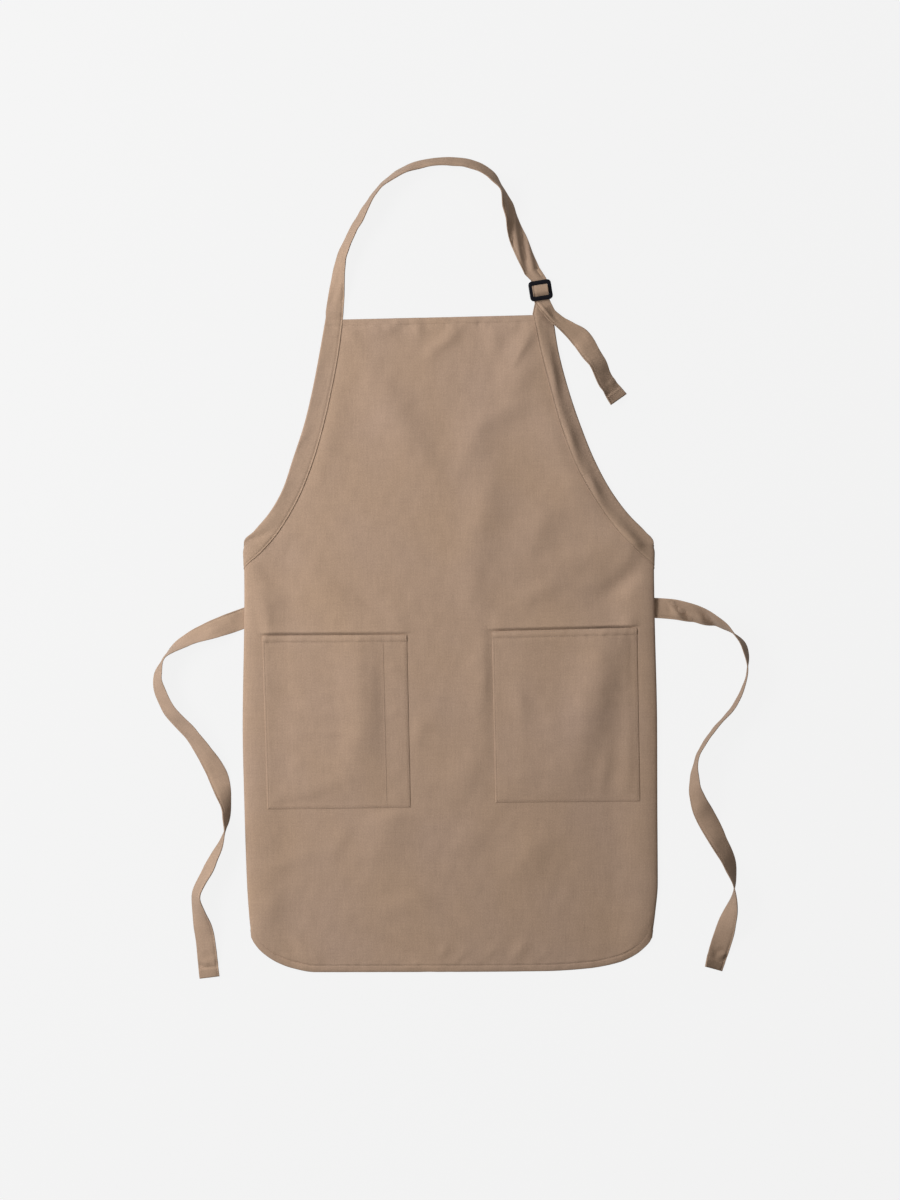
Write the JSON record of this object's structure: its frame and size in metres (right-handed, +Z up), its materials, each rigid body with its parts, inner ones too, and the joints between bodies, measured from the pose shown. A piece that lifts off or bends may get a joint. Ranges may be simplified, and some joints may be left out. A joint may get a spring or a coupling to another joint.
{
  "type": "bib apron",
  "caption": "Full-length cloth bib apron lying on its back, with bound armholes, patch pockets, waist ties and a neck strap that runs through a slide buckle.",
  "frame": {"origin": "on the surface that the apron lies on, below the middle of its bounding box", "axes": "+X to the right and +Y towards the neck as the spread apron is seen from above, +Z up off the surface"},
  "size_m": [0.7557, 1.0433, 0.0254],
  "materials": {
    "twill": "tan cotton twill, matt",
    "twill_strip": "the same twill, folded into strips",
    "buckle_plastic": "black, half gloss"
  },
  "bodies": {
    "root": {"body_panel": "twill", "pocket_left": "twill", "pocket_right": "twill", "neck_strap": "twill_strip", "buckle_strap": "twill_strip", "tie_left": "twill_strip", "tie_right": "twill_strip", "slide_buckle": "buckle_plastic"}
  },
  "joints": []
}
